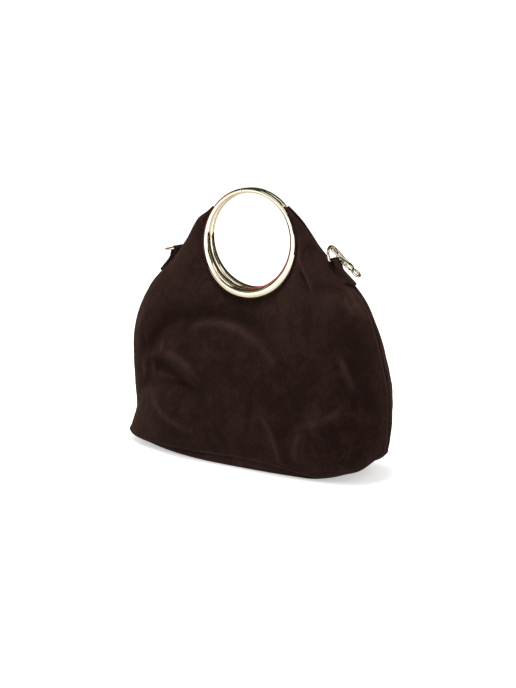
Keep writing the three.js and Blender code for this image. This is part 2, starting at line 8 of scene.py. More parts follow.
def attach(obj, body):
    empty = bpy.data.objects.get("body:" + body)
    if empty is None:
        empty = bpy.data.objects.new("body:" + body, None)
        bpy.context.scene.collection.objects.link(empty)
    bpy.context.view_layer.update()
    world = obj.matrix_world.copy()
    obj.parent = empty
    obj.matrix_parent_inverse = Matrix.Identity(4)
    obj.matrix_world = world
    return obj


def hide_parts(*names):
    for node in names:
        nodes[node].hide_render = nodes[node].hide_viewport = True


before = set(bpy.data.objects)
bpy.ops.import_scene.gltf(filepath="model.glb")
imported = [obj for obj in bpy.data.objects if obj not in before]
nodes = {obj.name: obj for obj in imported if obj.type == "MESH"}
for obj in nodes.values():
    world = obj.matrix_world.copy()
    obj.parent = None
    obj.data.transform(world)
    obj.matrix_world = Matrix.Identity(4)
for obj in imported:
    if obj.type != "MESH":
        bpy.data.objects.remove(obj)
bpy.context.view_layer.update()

mm = 0.001  # shapes are worked out in millimetres and stored in metres
print("frame loaded:", len(nodes), "nodes")


# Small helpers
def lerp(a, b, t):
    return a + (b - a) * t


def smoothStep(low, high, x):
    t = np.clip((x - low) / (high - low), 0, 1)
    return t * t * (3 - 2 * t)


def unit(vectors):
    return vectors / np.maximum(np.linalg.norm(vectors, axis=-1, keepdims=True), 1e-9)


def catmullRom(rows, key, name, at):
    keys = [row[key] for row in rows]
    values = [row[name] for row in rows]
    last = len(rows) - 1
    i = min(max(int(np.searchsorted(keys, at)) - 1, 0), last - 1)
    span = keys[i + 1] - keys[i]
    t = (at - keys[i]) / span

    def slope(k):
        a, b = max(k - 1, 0), min(k + 1, last)
        return (values[b] - values[a]) / (keys[b] - keys[a]) * span

    ends = (2 * t**3 - 3 * t**2 + 1) * values[i] + (3 * t**2 - 2 * t**3) * values[i + 1]
    return ends + (t**3 - 2 * t**2 + t) * slope(i) + (t**3 - t**2) * slope(i + 1)


def bell(x, width):
    return np.exp(-((x / width) ** 2))


def splineThrough(knots, count):
    # count + 1 points evenly along a smooth curve through the knots
    fineSteps = 80  # from one knot to the next
    knots = np.array(knots, float)
    ends = np.vstack([knots[:1], knots, knots[-1:]])
    t = np.linspace(0, 1, fineSteps, endpoint=False)[:, None]
    fine = []
    for i in range(len(knots) - 1):
        p0, p1, p2, p3 = ends[i : i + 4]
        v0, v1 = (p2 - p0) / 2, (p3 - p1) / 2
        cubic = (2 * p1 - 2 * p2 + v0 + v1) * t**3
        fine.append(cubic + (3 * p2 - 3 * p1 - 2 * v0 - v1) * t**2 + v0 * t + p1)
    fine = np.vstack(fine + [knots[-1:]])
    run = np.r_[0, np.cumsum(np.linalg.norm(np.diff(fine, axis=0), axis=1))]
    at = np.linspace(0, run[-1], count + 1)
    return np.stack([np.interp(at, run, fine[:, k]) for k in range(2)], -1)


def gridFaces(columns, rows, start=0, flip=False, wrap=False):
    faces = []
    for i in range(columns if wrap else columns - 1):
        a, b = start + i * rows, start + (i + 1) % columns * rows
        for j in range(rows - 1):
            face = (a + j, a + j + 1, b + j + 1, b + j)
            faces.append(face[::-1] if flip else face)
    return faces


def standFor(piece, body, node):
    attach(piece, body)
    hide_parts(node)


def addPiece(name, points, faces, material, node):
    mesh = bpy.data.meshes.new(name)
    mesh.from_pydata((np.asarray(points, float).reshape(-1, 3) * mm).tolist(), [], faces)
    mesh.polygons.foreach_set("use_smooth", [True] * len(mesh.polygons))
    mesh.materials.append(material)
    piece = bpy.data.objects.new(name, mesh)
    bpy.context.scene.collection.objects.link(piece)
    standFor(piece, "bag", node)
    return piece


def turnedBack(points, faces):
    # mirrored from the front of the bag to its back
    return points * np.array([1, -1, 1]), [face[::-1] for face in faces]


def storeValues(piece, name, values):
    attribute = piece.data.attributes.new(name, "FLOAT", "POINT")
    attribute.data.foreach_set("value", np.asarray(values, np.float32).ravel())


# Materials
suedeLook = dict(
    napDark=(0.0061, 0.0023, 0.0017),
    napMid=(0.0104, 0.0042, 0.0032),
    napLight=(0.0178, 0.0079, 0.0064),
    napStops=(0.45, 0.50, 0.56),  # where in the nap each of these three comes
    wearAndLightTint=(0.0520, 0.0280, 0.0235),  # nap lightened as painted highlight on ridges, shoulders and flanks, and beside seams as rubbed nap with painted highlight
    # painted shade: darker nap in hollows and in seam grooves
    paintedShadeTint=(0.0062, 0.0031, 0.0026),
    brushed=(1, 1, 0.85),  # the nap is brushed up and down
    patches=dict(scale=20, detail=4, roughness=0.6, distortion=0.9),  # scales are per metre
    blotches=dict(scale=75, detail=5, roughness=0.66, distortion=0.7),
    speckles=dict(scale=420, detail=3, roughness=0.6, distortion=0.3),
    fibres=dict(scale=1700, detail=2, roughness=0.6, distortion=0),
    napShares=dict(patches=0.34, blotches=0.34, speckles=0.22, fibres=0.10),
    bumpShares=dict(blotches=1.6, speckles=0.9, fibres=0.35),
    bumpStrength=0.7, bumpDepth=0.0009,
    roughness=0.8, roughnessSpread=0.16,
    gloss=0.04,
    sheen=0.12, sheenRoughness=0.6,
    sheenTint=(0.70, 0.40, 0.32),
)

goldLook = dict(
    colour=(0.93, 0.86, 0.70),
    deep=(0.86, 0.76, 0.56),
    cloud=dict(scale=60, detail=3, roughness=0.5, distortion=0),
    deepTo=0.3, colourFrom=0.55,  # of the cloud
    ringRoughness=0.04, trimRoughness=0.22,
)


def newMaterial(name):
    material = bpy.data.materials.new(name)
    material.use_nodes = True
    return material, material.node_tree.nodes, material.node_tree.links


def feed(socket, value):
    # a link from another node, or a plain value
    if isinstance(value, bpy.types.NodeSocket):
        value.id_data.links.new(value, socket)
    else:
        socket.default_value = value


def addNoise(tree, where, scale, detail, roughness, distortion):
    node = tree.new("ShaderNodeTexNoise")
    node.inputs["Scale"].default_value = scale
    node.inputs["Detail"].default_value = detail
    node.inputs["Roughness"].default_value = roughness
    node.inputs["Distortion"].default_value = distortion
    feed(node.inputs["Vector"], where)
    return node.outputs["Fac"]


def addRamp(tree, source, stops):
    ramp = tree.new("ShaderNodeValToRGB")
    elements = ramp.color_ramp.elements
    while len(elements) < len(stops):
        elements.new(0.5)
    for element, (place, colour) in zip(elements, stops):
        element.position = place
        element.color = (*colour, 1)
    feed(ramp.inputs["Fac"], source)
    return ramp.outputs["Color"]


def addMix(tree, factor, first, second):
    mix = tree.new("ShaderNodeMix")
    mix.data_type = "RGBA"
    for socket, value in (("Factor", factor), ("A", first), ("B", second)):
        feed(mix.inputs[socket], value)
    return mix.outputs["Result"]


def addMath(tree, operation, *values):
    node = tree.new("ShaderNodeMath")
    node.operation = operation
    for socket, value in zip(node.inputs, values):
        feed(socket, value)
    return node.outputs["Value"]


def addSum(tree, parts):
    # weighted sum of several values
    total = 0
    for source, weight in parts:
        total = addMath(tree, "MULTIPLY_ADD", source, weight, total)
    return total


def addDot(tree, place, way):
    node = tree.new("ShaderNodeVectorMath")
    node.operation = "DOT_PRODUCT"
    feed(node.inputs[0], place)
    feed(node.inputs[1], way)
    return node.outputs["Value"]


def addRange(tree, source, span, values):
    node = tree.new("ShaderNodeMapRange")
    node.interpolation_type = "SMOOTHSTEP"
    feed(node.inputs["Value"], source)
    for socket, value in zip(("From Min", "From Max", "To Min", "To Max"), (*span, *values)):
        node.inputs[socket].default_value = value
    return node.outputs["Result"]


def makeSuede():
    look = suedeLook
    material, tree, links = newMaterial("brownSuede")
    shader = tree["Principled BSDF"]
    place = tree.new("ShaderNodeTexCoord").outputs["Object"]
    brush = tree.new("ShaderNodeMapping")
    brush.inputs["Scale"].default_value = look["brushed"]
    links.new(place, brush.inputs["Vector"])
    brushed = brush.outputs["Vector"]
    grain = dict(
        patches=addNoise(tree, brushed, **look["patches"]),
        blotches=addNoise(tree, brushed, **look["blotches"]),
        speckles=addNoise(tree, place, **look["speckles"]),
        fibres=addNoise(tree, place, **look["fibres"]),
    )

    # brushed nap: broad patches broken up by blotches, speckles and single fibres
    nap = addSum(tree, [(grain[k], share) for k, share in look["napShares"].items()])
    napColours = [look[k] for k in ("napDark", "napMid", "napLight")]
    colour = addRamp(tree, nap, list(zip(look["napStops"], napColours)))

    # painted highlight on ridges, shoulders and flanks and beside seams (there partly rubbed nap), and
    # painted shade in hollows and seam grooves, from values measured on the mesh
    for name, tint in (("wearAndPaintedLight", look["wearAndLightTint"]), ("paintedShade", look["paintedShadeTint"])):
        shade = tree.new("ShaderNodeAttribute")
        shade.attribute_name = name
        amount = addMath(tree, "MULTIPLY", shade.outputs["Fac"], grain["blotches"])
        colour = addMix(tree, amount, colour, (*tint, 1))
    links.new(colour, shader.inputs["Base Color"])

    rough = addMath(tree, "MULTIPLY_ADD", grain["blotches"], look["roughnessSpread"], look["roughness"])
    links.new(rough, shader.inputs["Roughness"])

    bump = tree.new("ShaderNodeBump")
    bump.inputs["Strength"].default_value = look["bumpStrength"]
    bump.inputs["Distance"].default_value = look["bumpDepth"]
    height = addSum(tree, [(grain[k], share) for k, share in look["bumpShares"].items()])
    links.new(height, bump.inputs["Height"])
    links.new(bump.outputs["Normal"], shader.inputs["Normal"])
    shader.inputs["Specular IOR Level"].default_value = look["gloss"]
    shader.inputs["Sheen Weight"].default_value = look["sheen"]
    shader.inputs["Sheen Roughness"].default_value = look["sheenRoughness"]
    shader.inputs["Sheen Tint"].default_value = (*look["sheenTint"], 1)
    return material


def makeGold(name, roughness):
    look = goldLook
    material, tree, links = newMaterial(name)
    shader = tree["Principled BSDF"]
    place = tree.new("ShaderNodeTexCoord").outputs["Object"]
    cloud = addNoise(tree, place, **look["cloud"])
    colour = addRamp(tree, cloud, [(look["deepTo"], look["deep"]), (look["colourFrom"], look["colour"])])
    links.new(colour, shader.inputs["Base Color"])
    shader.inputs["Roughness"].default_value = roughness
    shader.inputs["Metallic"].default_value = 1
    return material


suede = makeSuede()
ringGold = makeGold("ringGold", goldLook["ringRoughness"])
trimGold = makeGold("trimGold", goldLook["trimRoughness"])
print("materials made")

# Ring handles
handle = dict(
    centreX=-1.7, centreHeight=224, holeRadius=46.5,
    topWire=2.6, bottomWire=6,  # radius of the wire
    taper=1.8,
    gap=0.8,  # between the two rings
    grooveDepth=1.5, grooveFade=0.14,
    grooveRows=(-1, -0.9, 0.9, 1),  # across the groove: lip, floor, floor and lip
    grooveLip=0.12,  # how far a lip sinks towards the floor
    grooveCrown=0.7,  # how close the same rows lie where there is no groove
    jointAngle=100, jointWidth=0.5, jointDepth=0.3,  # where the rod's ends meet
    jointSteps=11, jointReach=2.5,  # closer steps there, and over how many widths
    jointRoom=0.03,  # radians that the even steps keep off
    steps=288, sides=44,
)
suedeWall = 1.8
clearance = 0.3


def ringAt(angle):
    low = (1 - np.sin(angle)) / 2
    wire = lerp(handle["topWire"], handle["bottomWire"], low ** handle["taper"])
    grooveAngle = np.arcsin((suedeWall / 2 + clearance) / wire)
    middle = handle["holeRadius"] + wire
    grooveFloor = middle + wire * np.cos(grooveAngle) - handle["grooveDepth"]
    return dict(wire=wire, depth=wire + handle["gap"] / 2, grooveAngle=grooveAngle, middle=middle,
                grooveFloor=grooveFloor, outer=middle + wire)


def ringAngle(x, height):
    # round the ring from the left: under pi on its left tip, and above it on the right one
    angle = np.arctan2(height - handle["centreHeight"], x - handle["centreX"])
    return np.where(angle < math.pi / 2, angle + 2 * math.pi, angle)


def ringPoint(angle, radius, depth):
    x = handle["centreX"] + radius * np.cos(angle)
    z = handle["centreHeight"] + radius * np.sin(angle)
    return np.stack(np.broadcast_arrays(x, -depth, z), -1)


def ringMesh(suedeFrom, suedeTo):
    # round wire, with a groove for the suede between the two angles
    angle = np.linspace(0, 2 * math.pi, handle["steps"], endpoint=False)
    joint = math.radians(handle["jointAngle"])
    jointTurn = handle["jointWidth"] / handle["holeRadius"]
    nearJoint = np.linspace(-1, 1, handle["jointSteps"]) * handle["jointReach"] * jointTurn
    angle = np.sort(np.r_[angle[np.abs(angle - joint) > handle["jointRoom"]], joint + nearJoint])
    ring = ringAt(angle)
    wire = ring["wire"] - handle["jointDepth"] * bell(angle - joint, jointTurn)
    turned = np.where(angle < math.pi / 2, angle + 2 * math.pi, angle)
    fade = handle["grooveFade"]
    groove = smoothStep(suedeFrom - fade, suedeFrom, turned)
    groove *= 1 - smoothStep(suedeTo, suedeTo + fade, turned)
    around = handle["sides"] - len(handle["grooveRows"])
    rows = []
    for j in range(around):
        turn = lerp(ring["grooveAngle"], 2 * math.pi - ring["grooveAngle"], j / (around - 1))
        radius = ring["middle"] + wire * np.cos(turn)
        rows.append(ringPoint(angle, radius, ring["depth"] + wire * np.sin(turn)))
    half = suedeWall / 2 + clearance
    for share in handle["grooveRows"]:
        crown = share * ring["grooveAngle"] * handle["grooveCrown"]
        sunk = 1 if abs(share) < 1 else handle["grooveLip"]
        radius = lerp(ring["middle"] + wire * np.cos(crown), ring["grooveFloor"], groove * sunk)
        depth = lerp(ring["wire"] * np.sin(crown), share * half, groove)
        rows.append(ringPoint(angle, radius, ring["depth"] + depth))
    points = np.stack(rows, 1)
    sides = points.shape[1]
    faces = []
    for i in range(len(angle)):
        a, b = i * sides, (i + 1) % len(angle) * sides
        for j in range(sides):
            k = (j + 1) % sides
            faces.append((a + j, b + j, b + k, a + k))
    return points, faces


# Suede panels
bag = dict(
    # for each side: height and half-width of the outline, from the ring to the tip of the base, the base's
    # squareness, the height of its seam and of its upright rim, by share of the half-width, and how far
    # a panel stands out near the ring and far from it
    # (stage 0 is at the ring's tip, 1 at the top of the side seam, 2 at the base's tip and 3 mid-base)
    left=dict(
        rows=[(255.7, 43.7), (250, 51), (243, 61.5), (231, 71), (217, 80.5), (202, 92), (187, 107),
              (170, 122), (146, 134.5), (116, 142), (86, 144), (56, 144), (30, 144), (9, 154.5)],
        squareness=2.1,
        seam=[
            dict(reach=0, height=10.8, rim=10.8),
            dict(reach=0.25, height=8.8, rim=8.8),
            dict(reach=0.5, height=8.2, rim=7),
            dict(reach=0.65, height=7.6, rim=4.5),
            dict(reach=0.77, height=7, rim=1.5),
            dict(reach=0.88, height=7.4, rim=0.8),
            dict(reach=1, height=9, rim=0.8),
        ],
        bulges=[
            dict(stage=0, near=4.4, far=4.2, reach=0.67),
            dict(stage=1, near=10, far=13, reach=0.92),
            dict(stage=1.5, near=24, far=40, reach=1),
            dict(stage=2, near=36, far=30, reach=0.9),
            dict(stage=2.4, near=30, far=58, reach=0.84),
            dict(stage=3, near=26, far=62, reach=0.74),
        ],
    ),
    right=dict(
        rows=[(258.5, 38), (252, 46), (241, 58), (229, 68), (216, 78), (202, 91.5), (187, 109),
              (170, 123), (146, 133.5), (116, 142.5), (86, 148.5), (60, 149.5), (40, 149), (28, 146.5)],
        squareness=2.6,
        seam=[
            dict(reach=0, height=10.8, rim=10.8),
            dict(reach=0.25, height=10, rim=10),
            dict(reach=0.45, height=6.5, rim=6.3),
            dict(reach=0.6, height=3.6, rim=3),
            dict(reach=0.7, height=5, rim=1.5),
            dict(reach=0.8, height=9.2, rim=1),
            dict(reach=0.9, height=14.4, rim=0.8),
            dict(reach=1, height=28, rim=0.8),
        ],
        bulges=[
            dict(stage=0, near=4.4, far=4.2, reach=0.67),
            dict(stage=1, near=10, far=13, reach=0.92),
            dict(stage=1.5, near=24, far=42, reach=1),
            dict(stage=2, near=36, far=56, reach=1),
            dict(stage=2.4, near=28, far=63, reach=0.84),
            dict(stage=3, near=26, far=62, reach=0.74),
        ],
    ),
    shoulderShare=0.25,  # how much of the side is the free edge of the shoulder
    bulgeEasing=4, nearEasing=10, farEasing=4,  # degrees round the ring
    easedStages=(1, 1.4),
    turnEasing=60,  # passes that round the turn from the sides to the base
    turnStages=(1, 1.3), turnRoom=(4, 40),  # from where, and how far off the seam
    baseHalfDepth=38,
    collarWidth=2, tipCollar=0.2, tipStage=0.3,  # flat suede next to the ring, narrower at its tips
    nearReach=0.3,
    sideSteps=100, baseSteps=180, rows=90, tongueRows=4,
    baseCrowding=0.3, rowCrowding=0.45,  # closer columns at the base's tips, and rows at the ring and seam
    foldSamples=36, foldFade=0.12,  # steps along a fold, and how far into its fade it begins
    foldEasing=30,  # passes that even out which way folds rise
    ringCalm=(2, 16), seamCalm=(1, 16), lumpCalm=(3, 20),  # where folds and lumps die out
    lumps=[dict(size=34, rise=0.9), dict(size=13, rise=0.4), dict(size=5, rise=0.12)],
    lumpShift=7.3,
    sewnStages=(0.9, 1.05),
    seamDepth=1.3, seamWidth=1.5,
    seamPuff=0.7, puffAt=4, puffWidth=2.6,
)
# Where the nap is painted lighter (painted highlight on ridges, shoulders and flanks; rubbed nap with
# painted highlight beside seams) and painted darker (painted shade in hollows and seam grooves)
napWearAndLight = dict(
    # painted highlight on crease and fold ridges
    crease=0.9, fold=0.03,
    # lighter strip on the puff beside the seam: rubbed nap and painted highlight
    seam=0.5, seamAt=3.4, seamWidth=2,
    upperHighlight=0.4, upperHighlightHeights=(120, 215),  # painted highlight: lighter towards the top, by the ring
    flankSheen=0.2, flankSheenReach=30,  # painted sheen on the flanks, along the side seams
    flankSheenStages=((1, 1.2), (1.7, 2)),
    # painted shade in crease and fold hollows, and in the seam's groove
    creaseDark=0.9, foldPaintedShade=0.4,
    seamPaintedShade=1.4, seamPaintedShadeWidth=1.6,
)

# Folds seen from a panel's own front: x to the right, z up, rise out of the panel.
# lean is the width of the fold's left side, seen from its start, over that of its right side.
frontFolds = [
    dict(start=(55, 230), via=(56, 205), end=(79, 184), width=7, rise=4, lean=1),
    dict(start=(73, 224), via=(69, 214), end=(74, 205), width=8, rise=-4, lean=1),
    dict(start=(60, 208), via=(62, 195), end=(73, 178), width=7, rise=-4, lean=1),
    dict(start=(-106, 110), via=(-90, 147), end=(-50, 144), width=14, rise=-5, lean=1),
    dict(start=(-56, 143), via=(-8, 158), end=(44, 124), width=8, rise=-5, lean=1),
    dict(start=(-54, 134), via=(-10, 154), end=(46, 106), width=9, rise=4, lean=1),
    dict(start=(-110, 98), via=(-83, 118), end=(-44, 84), width=8, rise=4, lean=1),
    dict(start=(-98, 94), via=(-82, 93), end=(-58, 82), width=9, rise=-3.4, lean=1),
    dict(start=(-110, 74), via=(-65, 84), end=(-26, 70), width=10, rise=-6, lean=1),
    dict(start=(-97, 63), via=(-78, 42), end=(-40, 36), width=8, rise=4, lean=1),
    dict(start=(38, 62), via=(56, 46), end=(60, 17), width=8, rise=4, lean=1),
    dict(start=(80, 55), via=(106, 58), end=(120, 80), width=9, rise=3, lean=1),
    dict(start=(100, 184), via=(106, 160), end=(128, 138), width=8, rise=3, lean=1),
]
frontCreases = [
    dict(start=(56, 230), via=(54, 205), end=(78, 185), width=2.4, rise=2, lean=0.5),
    dict(start=(61, 198), via=(65, 190), end=(74, 182), width=3, rise=-1.4, lean=1),
    dict(start=(-107, 105), via=(-106, 138), end=(-64, 144), width=5, rise=-1.6, lean=1),
    dict(start=(-64, 144), via=(0, 154), end=(46, 119), width=4, rise=-1.8, lean=1),
    dict(start=(-56, 136), via=(-10, 151), end=(44, 110), width=4, rise=1.8, lean=0.6),
    dict(start=(-104, 101), via=(-72, 113), end=(-41, 85), width=4, rise=1.8, lean=0.7),
    dict(start=(-96, 92), via=(-86, 92), end=(-70, 86), width=4, rise=-1, lean=1),
    dict(start=(-104, 82), via=(-90, 83), end=(-74, 82), width=2.4, rise=1.2, lean=0.7),
    dict(start=(-102, 71), via=(-58, 86), end=(-30, 71), width=4.4, rise=-2, lean=1),
    dict(start=(-116, 92), via=(-117, 84), end=(-119, 72), width=2.4, rise=1.1, lean=0.6),
    dict(start=(-104, 94), via=(-105, 86), end=(-104, 76), width=2.2, rise=1.1, lean=0.6),
    dict(start=(-94, 118), via=(-93, 112), end=(-92, 103), width=2.4, rise=1, lean=0.6),
    dict(start=(-99, 61), via=(-74, 38), end=(-42, 35), width=2.4, rise=2.1, lean=0.5),
    dict(start=(38, 60), via=(58, 43), end=(58, 17), width=2.2, rise=2.2, lean=0.5),
    dict(start=(48, 54), via=(64, 40), end=(66, 18), width=4, rise=-1.4, lean=1),
    dict(start=(76, 54), via=(110, 62), end=(121, 83), width=3.2, rise=1.4, lean=0.6),
    dict(start=(82, 52), via=(72, 37), end=(74, 20), width=2.6, rise=1.3, lean=0.7),
    dict(start=(114, 124), via=(119, 112), end=(127, 96), width=4, rise=1.2, lean=0.6),
    dict(start=(110, 185), via=(116, 174), end=(129, 157), width=2.4, rise=1.1, lean=0.6),
    dict(start=(109, 178), via=(112, 171), end=(119, 162), width=2.2, rise=0.9, lean=0.6),
    dict(start=(-118, 150), via=(-124, 130), end=(-126, 108), width=3, rise=0.9, lean=0.6),
]
backFolds = [
    dict(start=(-52, 140), via=(8, 158), end=(84, 126), width=12, rise=-5, lean=1),
    dict(start=(52, 70), via=(84, 76), end=(112, 62), width=14, rise=-6, lean=1),
    dict(start=(-30, 66), via=(-44, 36), end=(-68, 12), width=11, rise=4, lean=1),
    dict(start=(-96, 180), via=(-98, 150), end=(-112, 116), width=10, rise=3, lean=1),
]
backCreases = [
    dict(start=(-44, 136), via=(10, 150), end=(76, 122), width=4.5, rise=1.5, lean=0.4),
    dict(start=(-32, 62), via=(-44, 38), end=(-66, 14), width=2.4, rise=1.3, lean=0.5),
    dict(start=(58, 84), via=(84, 90), end=(108, 74), width=3, rise=1.1, lean=0.6),
    dict(start=(-100, 174), via=(-104, 150), end=(-114, 122), width=2.8, rise=1, lean=0.6),
    dict(start=(96, 182), via=(104, 160), end=(116, 140), width=2.8, rise=0.9, lean=0.6),
]


def panelColumns():
    # columns run from the left ring tip down the left side, along the base and up the right side
    parts = []
    for sign, side in ((-1, bag["left"]), (1, bag["right"])):
        spots = splineThrough([(half, height) for height, half in side["rows"]], bag["sideSteps"])
        along = np.linspace(0, 1, len(spots))
        share = bag["shoulderShare"]
        stage = np.where(along < share, along / share, 1 + (along - share) / (1 - share))
        tipDepth = ringAt(ringAngle(sign * spots[0, 0], spots[0, 1]))["depth"]
        depth = tipDepth * (1 - smoothStep(0, 1, stage))
        rim = np.full(len(spots), side["seam"][-1]["rim"])
        parts.append(np.stack([sign * spots[:, 0], spots[:, 1], depth, stage, rim], -1))
    along = np.linspace(0, 1, bag["baseSteps"] + 1)[1:-1]
    across = lerp(2 * along - 1, -np.cos(along * math.pi), bag["baseCrowding"])
    for sign, side in ((-1, bag["left"]), (1, bag["right"])):
        reach = np.abs(across[across < 0] if sign < 0 else across[across >= 0])
        tipHalf = side["rows"][-1][1]
        depth = bag["baseHalfDepth"] * np.sqrt(1 - reach ** side["squareness"])
        height, rim = ([catmullRom(side["seam"], "reach", k, r) for r in reach] for k in ("height", "rim"))
        parts.append(np.stack([sign * reach * tipHalf, height, depth, 3 - reach, rim], -1))
    leftSide, rightSide, leftBase, rightBase = parts
    columns = np.vstack([leftSide, leftBase, rightBase, rightSide[::-1]])
    named = dict(zip(("x", "height", "depth", "stage", "rim"), columns.T))
    return dict(named, angle=ringAngle(named["x"], named["height"]))


def easedRound(columns, values, degrees):
    # averaged over so many degrees round the ring, for a smooth turn from the sides to the base
    turn = columns["angle"][:, None] - columns["angle"][None]
    weight = bell(turn, math.radians(degrees))
    eased = weight @ values / weight.sum(1, keepdims=True)
    return lerp(values, eased, smoothStep(*bag["easedStages"], columns["stage"])[:, None])


def bulgeAt(columns, name):
    sides = [bag["left"] if x < 0 else bag["right"] for x in columns["x"]]
    bulge = [catmullRom(side["bulges"], "stage", name, s) for side, s in zip(sides, columns["stage"])]
    return easedRound(columns, np.array(bulge)[:, None], bag["bulgeEasing"])


def foldRise(folds, x, z):
    # the rise, and how far each place is on a ridge and in a hollow
    rise, ridge, hollow = (np.zeros_like(x) for _ in range(3))
    t = np.linspace(0, 1, bag["foldSamples"])[:, None]
    for fold in folds:
        ends = [np.array(fold[k], float) for k in ("start", "via", "end")]
        path = (1 - t) ** 2 * ends[0] + 2 * t * (1 - t) * ends[1] + t**2 * ends[2]
        along = np.gradient(path, axis=0)
        best = np.zeros_like(x)
        for spot, way, share in zip(path, unit(along), t[:, 0]):
            dx, dz = x - spot[0], z - spot[1]
            leftSide = way[0] * dz - way[1] * dx > 0
            width = fold["width"] * np.where(leftSide, fold["lean"], 1)
            fade = math.sin(math.pi * lerp(bag["foldFade"], 1 - bag["foldFade"], share))
            best = np.maximum(best, fade * np.exp(-(dx**2 + dz**2) / width**2))
        rise += fold["rise"] * best
        ridge = np.maximum(ridge, best * (fold["rise"] > 0))
        hollow = np.maximum(hollow, best * (fold["rise"] < 0))
    return dict(rise=rise, ridge=ridge, hollow=hollow)


def lumpRise(points, seed):
    rise = np.zeros(points.shape[:2])
    for i, lump in enumerate(bag["lumps"]):
        for index in np.ndindex(*rise.shape):
            spot = Vector(points[index]) / lump["size"] + Vector((seed, bag["lumpShift"] * i, -seed))
            rise[index] += lump["rise"] * noise.noise(spot)
    return rise


def gridNormals(points, softening=0):
    along = np.gradient(points, axis=0)
    down = np.gradient(points, axis=1)
    normals = unit(np.cross(down, along))
    for _ in range(softening):
        normals[1:-1] = normals[:-2] / 4 + normals[1:-1] / 2 + normals[2:] / 4
        normals[:, 1:-1] = normals[:, :-2] / 4 + normals[:, 1:-1] / 2 + normals[:, 2:] / 4
    return unit(normals)


def panelMesh(folds, creases, seed):
    columns = panelColumns()
    ring = ringAt(columns["angle"])
    angle, stage = columns["angle"], columns["stage"]
    tongue = ringPoint(angle, ring["grooveFloor"] + clearance, ring["depth"])
    collarWidth = lerp(bag["tipCollar"], bag["collarWidth"], smoothStep(0, bag["tipStage"], stage))
    collar = ringPoint(angle, ring["outer"] + collarWidth, ring["depth"])
    edge = np.stack([columns["x"], -columns["depth"], columns["height"]], -1)
    near = lerp(collar, easedRound(columns, edge, bag["nearEasing"]), bag["nearReach"])
    near[:, 1] = -bulgeAt(columns, "near")[:, 0]
    far = lerp(collar, easedRound(columns, edge, bag["farEasing"]), bulgeAt(columns, "reach"))
    far[:, 1] = -bulgeAt(columns, "far")[:, 0]

    rows = [lerp(tongue, collar, j / bag["tongueRows"]) for j in range(bag["tongueRows"])]
    for j in range(bag["rows"] + 1):
        t = j / bag["rows"]
        t = lerp(t, (1 - math.cos(t * math.pi)) / 2, bag["rowCrowding"])
        upper = (1 - t) ** 3 * collar + 3 * t * (1 - t) ** 2 * near
        rows.append(upper + 3 * t**2 * (1 - t) * far + t**3 * edge)
    points = np.stack(rows, 1)

    gap = np.linalg.norm(np.diff(points, axis=1), axis=2)
    fromRing = np.c_[np.zeros(len(gap)), np.cumsum(gap, 1)]
    fromEdge = fromRing[:, -1:] - fromRing
    eased = smoothStep(*bag["turnRoom"], fromEdge) * smoothStep(*bag["turnStages"], stage)[:, None]
    for _ in range(bag["turnEasing"]):
        points[1:-1] += (points[:-2] + points[2:] - 2 * points[1:-1]) / 4 * eased[1:-1, :, None]

    calm = smoothStep(*bag["ringCalm"], fromRing) * smoothStep(*bag["seamCalm"], fromEdge)
    broad = foldRise(folds, points[..., 0], points[..., 2])
    sharp = foldRise(creases, points[..., 0], points[..., 2])
    rise = (broad["rise"] + sharp["rise"]) * calm
    rise += lumpRise(points, seed) * smoothStep(*bag["lumpCalm"], fromRing)
    points = points + gridNormals(points, bag["foldEasing"]) * rise[..., None]

    # the seam pulls the edge in, and the suede stands up a little beside it
    sewn = smoothStep(*bag["sewnStages"], stage)[:, None]
    seam = -bag["seamDepth"] * bell(fromEdge, bag["seamWidth"])
    seam += bag["seamPuff"] * bell(fromEdge - bag["puffAt"], bag["puffWidth"])
    points = points + gridNormals(points) * (seam * sewn)[..., None]
    shades = napShades(points[..., 2], stage, fromEdge, calm, sewn, broad, sharp)
    return suedeLayers(points, stage), shades


def napShades(height, stage, fromEdge, calm, sewn, broad, sharp):
    # lighter: painted highlight on ridges, towards the top and on the flanks, and rubbed nap with painted
    # highlight beside the seam
    wearAndPaintedLight = (sharp["ridge"] * napWearAndLight["crease"] + broad["ridge"] * napWearAndLight["fold"]) * calm
    wearAndPaintedLight += napWearAndLight["seam"] * bell(fromEdge - napWearAndLight["seamAt"], napWearAndLight["seamWidth"]) * sewn
    wearAndPaintedLight += napWearAndLight["upperHighlight"] * smoothStep(*napWearAndLight["upperHighlightHeights"], height)
    start, end = napWearAndLight["flankSheenStages"]
    beside = (smoothStep(*start, stage) * (1 - smoothStep(*end, stage)))[:, None]
    wearAndPaintedLight += napWearAndLight["flankSheen"] * bell(fromEdge, napWearAndLight["flankSheenReach"]) * beside
    # darker: painted shade in hollows and in the seam's groove
    paintedShade = (sharp["hollow"] * napWearAndLight["creaseDark"] + broad["hollow"] * napWearAndLight["foldPaintedShade"]) * calm
    paintedShade += napWearAndLight["seamPaintedShade"] * bell(fromEdge, napWearAndLight["seamPaintedShadeWidth"]) * sewn
    return dict(wearAndPaintedLight=wearAndPaintedLight, paintedShade=paintedShade)


def suedeLayers(points, stage):
    # the outer and the inner side of the wall: its lower edge is level, and its side edges are flat
    onSide = (stage >= 1) & (stage <= 2)
    normals = gridNormals(points)
    normals[:, -1, 1] = np.where(onSide, 0, normals[:, -1, 1])
    normals[:, -1, 2] = np.where(stage > 2, 0, normals[:, -1, 2])
    normals = unit(normals)
    tucked = (np.arange(points.shape[1]) < bag["tongueRows"])[None, :, None]
    layers = []
    for sign in (1, -1):
        half = sign * suedeWall / 2
        layer = np.where(tucked, points - np.array([0, half, 0]), points + normals * half)
        layer[..., 1] = np.minimum(layer[..., 1], 0)  # the side seams are sewn shut
        layers.append(layer)
    return layers


